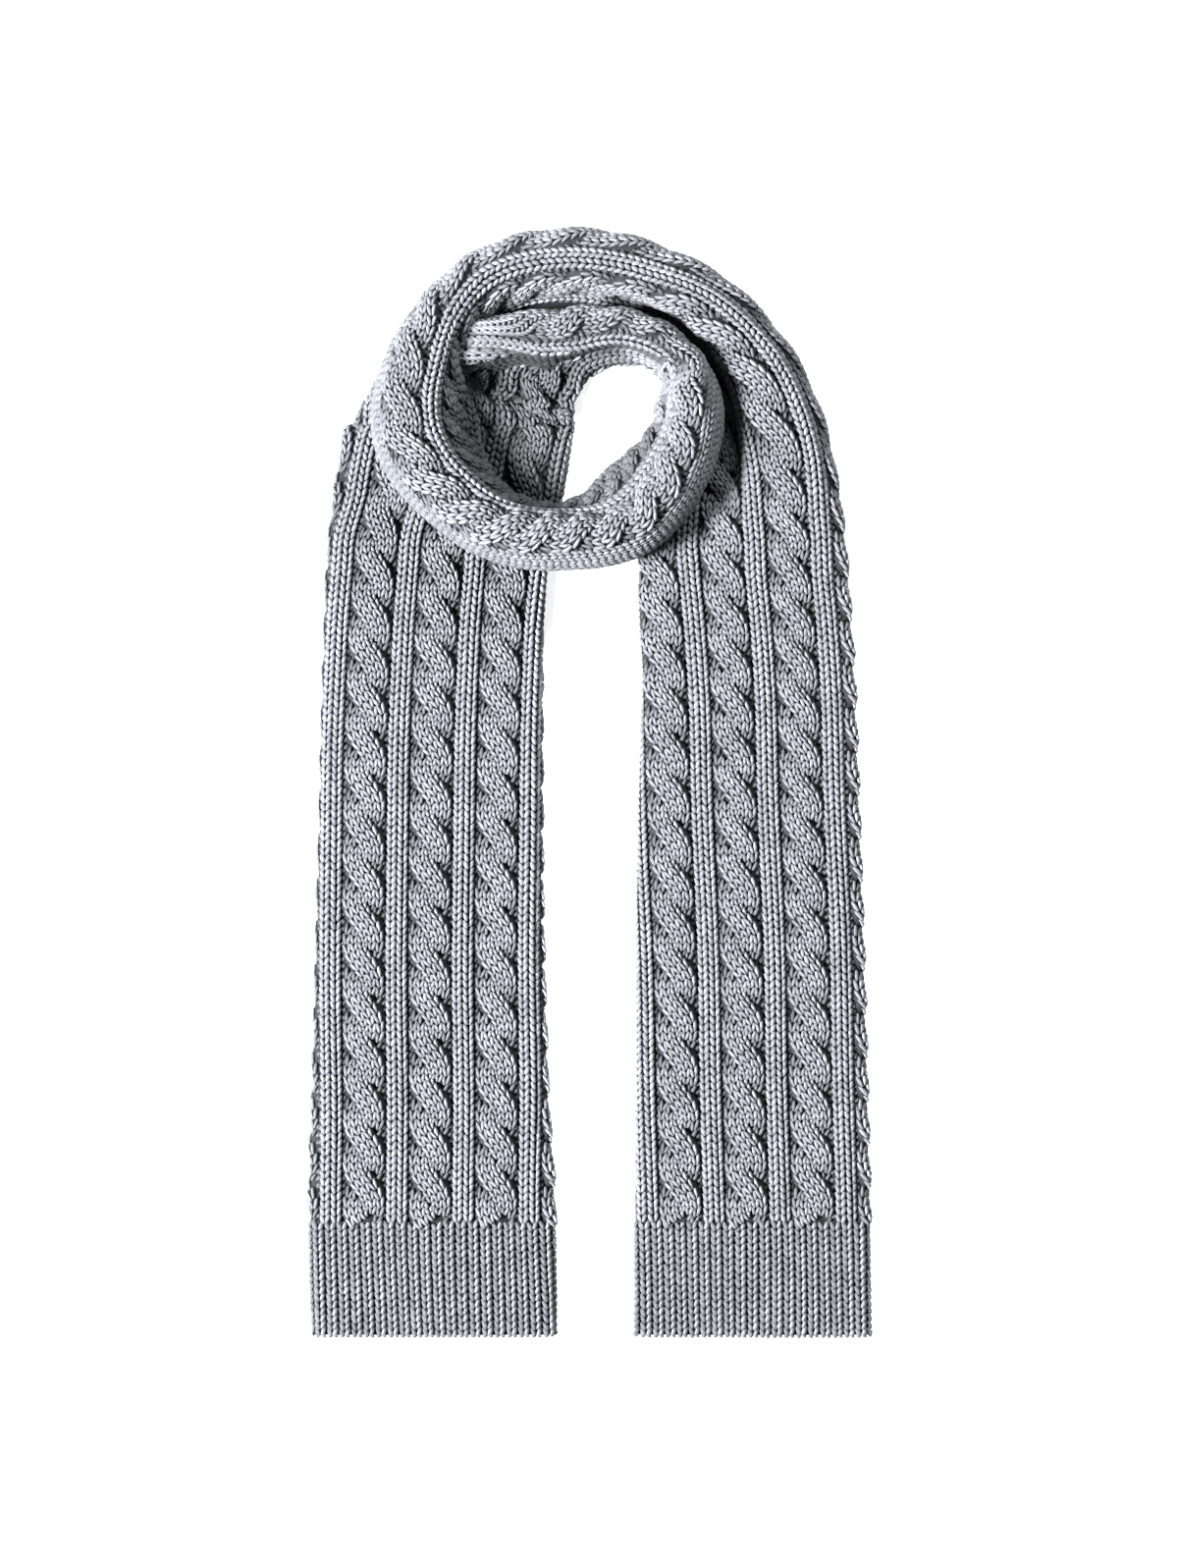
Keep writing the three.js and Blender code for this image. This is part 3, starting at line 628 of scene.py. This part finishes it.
def yarn_legs(path, s, side, lift_at, length, width, foot, head):
    """The legs of many stitches. Leg k runs along its wale from s - length/2 to s + length/2,
    where length is a number or one for each leg in a column, and goes from foot to head to one
    side of the wale's middle. path turns both into a place across the flat cloth and along the
    ribbon, and each ring is a circle across the line.
    Returns the points, shape (k, rings, sides, 3)."""
    run = s[:, None] + LEG_ALONG[None] * length
    aside = side * (foot + (head - foot) * (LEG_ALONG[None] + 0.5))
    across, along = path(run, aside)
    arch = LEG_ARCH[None] * width * 0.5
    centre = on_cloth(across, along, lift_at(across, along) + arch)
    next_across, next_along = path(run, aside + 0.4)
    beside = on_cloth(next_across, next_along, lift_at(next_across, next_along) + arch)
    forward = np.gradient(centre, axis=1)
    forward /= np.linalg.norm(forward, axis=-1, keepdims=True) + 1e-9
    sideways = beside - centre
    sideways -= (sideways * forward).sum(-1, keepdims=True) * forward
    sideways /= np.linalg.norm(sideways, axis=-1, keepdims=True) + 1e-9
    up = np.cross(forward, sideways)
    turn = 2 * np.pi * np.arange(LEG_SIDES) / LEG_SIDES + np.pi / 2
    half = (LEG_GIRTH[None] * width / 2000)[..., None, None]
    return centre[:, :, None] + half * (np.cos(turn)[:, None] * sideways[:, :, None]
                                        + np.sin(turn)[:, None] * up[:, :, None])


def in_sight(across, s):
    """Whether a place shows: inside both edges, and not inside the fold."""
    place = at_station(PLACES, s)
    folded = (place[..., 2] - place[..., 1] > FOLD_WIDE) & (across > place[..., 1] + 1)
    return ((across > place[..., 0] + EDGE_ROOM) & (across < place[..., 3] - EDGE_ROOM)
            & ~(folded & (across < place[..., 2] - 1)))


def knit_into(name, legs):
    """Joins the legs' rings into closed little bodies in one mesh, with a tone and painted shade
    at each point: the leg's own random tone times its painted shade, times its ring's and its
    side's painted shade."""
    shades = np.concatenate([shade for _, shade in legs])
    legs = np.concatenate([rings for rings, _ in legs])
    count, rings = legs.shape[:2]
    ends = legs[:, (0, -1)].mean(axis=2)
    body = legs[:, 1:-1].reshape(count, -1, 3)
    points = np.concatenate((ends, body), axis=1)
    index = 2 + np.arange((rings - 2) * LEG_SIDES).reshape(rings - 2, LEG_SIDES)
    after = np.roll(index, -1, axis=1)
    faces = [np.stack((index[:-1], after[:-1], after[1:]), -1).reshape(-1, 3),
             np.stack((index[:-1], after[1:], index[1:]), -1).reshape(-1, 3),
             np.stack((0 * index[0], after[0], index[0]), -1),
             np.stack((0 * index[0] + 1, index[-1], after[-1]), -1)]
    one = np.concatenate(faces)
    every = (one[None] + points.shape[1] * np.arange(count)[:, None, None]).reshape(-1, 3)
    piece = make_mesh(name, points, every)
    own = shades * np.random.default_rng(count).uniform(DULLEST_LEG, 1, count)
    around = np.outer(RING_PAINTED_SHADE[1:-1], SIDE_PAINTED_SHADE).ravel()
    leg_tone_and_painted_shade = own[:, None] * np.concatenate((RING_PAINTED_SHADE[[0, -1]], around))[None]
    piece.data.attributes.new("tone_and_painted_shade", "FLOAT", "POINT").data.foreach_set(
        "value", leg_tone_and_painted_shade.ravel().astype(np.float32))
    piece.data.materials.append(YARN)
    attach(piece, "root")
    return piece


def rows_along(path, start, end):
    """Where a wale's stitches lie along the ribbon: as many rows as its real length has room
    for, spaced evenly on the cloth, and the ribbon's own length in each real millimetre."""
    s = np.arange(start, end + 0.5)
    points = 1000 * on_cloth(*path(s, 0.0), 0 * s)
    step = np.linalg.norm(np.diff(points, axis=0), axis=1)
    run = np.concatenate(([0], np.cumsum(step)))
    count = max(1, int(round(run[-1] / ROW)))
    rows = np.interp((np.arange(count) + 0.5) * run[-1] / count, run, s)
    return rows, np.interp(rows, (s[1:] + s[:-1]) / 2, 1 / np.clip(step, 0.33, 4))


def painted_loop_shade(across, s):
    """The painted shade at a place, a factor on its colour: 1 but for the inside of the loop,
    where it falls inwards from the loop's radius and down from its depth."""
    x, y, z = np.moveaxis(1000 * on_cloth(across, s, 0.0 * s), -1, 0)
    radius = np.hypot(x - LOOP_MIDDLE[0], y - LOOP_MIDDLE[1])
    inside = (np.clip((LOOP_RADIUS - radius) / LOOP_EDGE, 0, 1)
              * np.clip((LOOP_DEPTH - z) / LOOP_FADE, 0, 1))
    return 1 - LOOP_SHADE * inside


def legs_of_wale(rng, path, start, end, flip, lift_at, width, foot, head, shade=None,
                 guide=None, seen=in_sight):
    """Both legs of each stitch up one wale, a little uneven in place and girth, with painted
    shade for the shade that they lie in and for the loop. Those in no light at all are left out.
    The rows are spaced along the wale, or along the guide that it winds about."""
    rows, scale = rows_along(guide or path, start, end)
    drift = DRIFT * np.sin(rows / 31.0 + path(rows, 0)[0] * 0.11)
    out = []
    for side in (-1.0, 1.0):
        s = rows + scale * (drift + rng.normal(0, UNEVEN_PLACE, len(rows)) + LEG_OFFSET * side)
        centre, along = path(s, side * (foot + head) / 2)
        shows = seen(centre, along)
        tone_and_painted_shade = np.ones(len(s)) if shade is None else shade(centre, along)
        shows &= tone_and_painted_shade > 0
        tone_and_painted_shade = tone_and_painted_shade * painted_loop_shade(centre, along)
        s, tone_and_painted_shade, length = s[shows], tone_and_painted_shade[shows], ROW * LEG_LENGTH * scale[shows]
        if not len(s):
            continue
        girth = width * rng.uniform(*GIRTH_RANGE, len(s))[:, None]
        near, far = (head, foot) if flip else (foot, head)
        legs = yarn_legs(path, s, side, lift_at, length[:, None], girth, near, far)
        out.append((legs, tone_and_painted_shade))
    return out


def straight(middle):
    """The path of an upright wale: its middle, plus the distance beside it."""
    return lambda s, aside: (middle + 0.3 * np.sin(s / 23.0 + middle) + aside, s + 0 * aside)


def cable_legs(rng, left_edge, start, end, flip):
    """The six wales of a cable: three ride on each of the two strands, turned with it, and a
    strand's stitches are left out where it passes under the other."""
    legs = []
    axis = left_edge + CABLE_WIDTH / 2
    for turn in (0, math.pi):
        for wale in (-1, 0, 1):
            def path(s, aside, turn=turn, wale=wale):
                swing, _, slant = strand(s, turn)
                lean = np.sign(strand(s + 0.1, turn)[0] - swing) * np.sqrt(slant ** 2 - 1)
                from_middle = wale * CABLE_WALE + aside
                return axis + swing + from_middle / slant, s - from_middle * lean / slant

            def lift_at(across, s, turn=turn):
                low = 0.15 * strand(s, turn)[1]
                return np.maximum(strand_height(across - axis, s, turn), low) - TUCKED

            # Painted shade: a strand's legs are darker the lower they lie on it; those under the
            # other strand are left out.
            def shade(across, s, turn=turn):
                own = strand_height(across - axis, s, turn)
                other = strand_height(across - axis, s, turn + math.pi)
                light = 0.4 + 0.6 * np.clip(own / (0.55 * CABLE_HEIGHT), 0, 1)
                return np.where(own > other - 0.15, light, 0)

            legs += legs_of_wale(rng, path, start, end, flip, lift_at, *CABLE_LEG, shade,
                                 straight(axis))
    return legs


def rib_legs(rng, left_edge, start, end, flip):
    """The two wales of a rib, side by side on its low ridge."""
    legs = []
    for wale in (-0.5, 0.5):
        legs += legs_of_wale(rng, straight(left_edge + RIB_WIDTH / 2 + wale * RIB_WALE), start,
                             end, flip, lambda a, s: knit_height(a, s) - TUCKED, *RIB_LEG)
    return legs


def plain_legs(rng, left_edge, start, end, flip):
    """Plain knit wales side by side, on the cloth's back where its outer edge rolls over."""
    legs = []
    for wale in range(1, PLAIN_WALES + 1):
        legs += legs_of_wale(rng, straight(left_edge - (wale - 0.5) * PLAIN_WALE), start, end,
                             flip, lambda a, s: 0 * (a + s) - TUCKED, *PLAIN_LEG,
                             lambda a, s: 0 * a + PLAIN_PAINTED_SHADE)
    return legs


def fold_legs(rng, start, end, flip):
    """Wales on the wall that hangs from the inner turn's brow to its shelf, over the folded
    cloth. A millimetre of wall stands for as much flat cloth as the fold there takes up."""
    legs = []
    for wale in range(FOLD_WALES):
        def path(s, aside, part=(wale + 0.5) / FOLD_WALES):
            place, share = at_station(PLACES, s), at_station(SHARES, s)
            fold = place[..., 2] - place[..., 1]
            wall = (share[..., 2] - share[..., 1]) / share[..., 1] * (
                place[..., 1] - place[..., 0])
            return place[..., 1] + part * fold + aside * fold / wall, s + 0 * aside

        def seen(across, s):
            place = at_station(PLACES, s)
            return (place[..., 2] - place[..., 1] > FOLD_WIDE) & (s < FOLD_END)

        legs += legs_of_wale(rng, path, start, end, flip, lambda a, s: 0 * (a + s) + 0.1,
                             *PLAIN_LEG, lambda a, s: 0 * a + FOLD_PAINTED_SHADOW, seen=seen)
    return legs


def purl_legs(rng, place, start, end, tone_and_painted_shade):
    """The purl stitches sunk beside a rib or a cable: short bumps lying across the cloth."""
    rows = np.arange(math.ceil(start / ROW), math.ceil(end / ROW)) * ROW + 0.5 * ROW
    s = rows + rng.normal(0, 0.2, len(rows))
    s = s[in_sight(place, s)]
    if not len(s):
        return []
    legs = yarn_legs(straight(place), s, 1.0, lambda a, b: 0 * (a + b) - 1.0, ROW * 0.8,
                     np.full((len(s), 1), 2.0), -1.5, 1.5)
    return [(legs, tone_and_painted_shade * painted_loop_shade(place + 0 * s, s))]


# The yarn's colour is multiplied by each point's tone and painted shade.
YARN = wool("heathered_yarn", DARK_GREY, LIGHT_GREY)
times(YARN, read_from(YARN, "tone_and_painted_shade"))
# From this place on, the ribbon was knitted from its other end.
TURNED_FROM = 1012
# Purl stitches fill the notches at a cable's sides, places from its left edge, and the gutters
# beside the outermost cable and rib.
TAIL_FILLS = (1.0, CABLE_WIDTH - 1.0)
LOOP_FILLS = (1.0, 3.6, CABLE_WIDTH - 3.6, CABLE_WIDTH - 1.0)
GUTTERS = (CABLE_WIDTH - 1.2, CABLE_WIDTH + 0.8, UNIT + 0.2)
# Painted shade on the sunk purl stitches, darkest in the cables' notches.
FILL_PAINTED_SHADE = 0.35
GUTTER_PAINTED_SHADE = 0.6
for name, start, end, height, width in STRETCHES:
    if height is hem_height:
        continue
    rng = np.random.default_rng(start)
    flip = start >= TURNED_FROM
    cables, ribs = [], plain_legs(rng, 0.0, start, end, flip)
    for unit in range(5):
        left = unit * UNIT
        cables += cable_legs(rng, left, start, end, flip)
        for place in TAIL_FILLS if "tail" in name else LOOP_FILLS:
            cables += purl_legs(rng, left + place, start, end, FILL_PAINTED_SHADE)
        if unit < 4:
            ribs += rib_legs(rng, left + CABLE_WIDTH, start, end, flip)
    for place in GUTTERS:
        ribs += purl_legs(rng, place, start, end, GUTTER_PAINTED_SHADE)
    if name == "inner_turn":
        ribs += fold_legs(rng, start, end, flip)
    knit_into(name + "_cable_stitches", cables)
    knit_into(name + "_rib_stitches", ribs)

# The hems.
# Each end is knitted in narrow ribs, one wale up and one down, for 65 mm, and ends in the
# loops of its first or last row.
HEM_WALES = 24
HEM_LEG = (2.7, 0.5, 2.75)
# Painted shade that dims the hems' legs, as if the pulled-in ribs shaded themselves.
HEM_PAINTED_SHADE = 0.66
CAST_ON_PLACE = 1.6
CAST_ON_ASIDE = 1.6
CAST_ON_LENGTH = 5.0
CAST_ON_WIDTH = 3.3
for name, start, end, edge, inward in (("left_hem", 0, 65, 0, 1),
                                       ("right_hem", 1652, 1717, 1717, -1)):
    rng = np.random.default_rng(start + 5)
    legs = []
    for wale in range(HEM_WALES):
        path = straight((wale + 0.5) * HEM_WALE)

        def lift_at(across, s):
            return hem_height(across, s) - TUCKED

        legs += legs_of_wale(rng, path, start, end, inward < 0, lift_at, *HEM_LEG,
                             lambda across, s: 0 * across + HEM_PAINTED_SHADE)
        for side in (-1.0, 1.0):
            s = np.array([edge + inward * CAST_ON_PLACE])
            if in_sight(path(s, side * CAST_ON_ASIDE)[0], s)[0]:
                loop = yarn_legs(path, s, side, lift_at, CAST_ON_LENGTH,
                                 np.array([[CAST_ON_WIDTH]]), CAST_ON_ASIDE, CAST_ON_ASIDE)
                legs.append((loop, np.full(1, HEM_PAINTED_SHADE)))
    knit_into(name + "_stitches", legs)
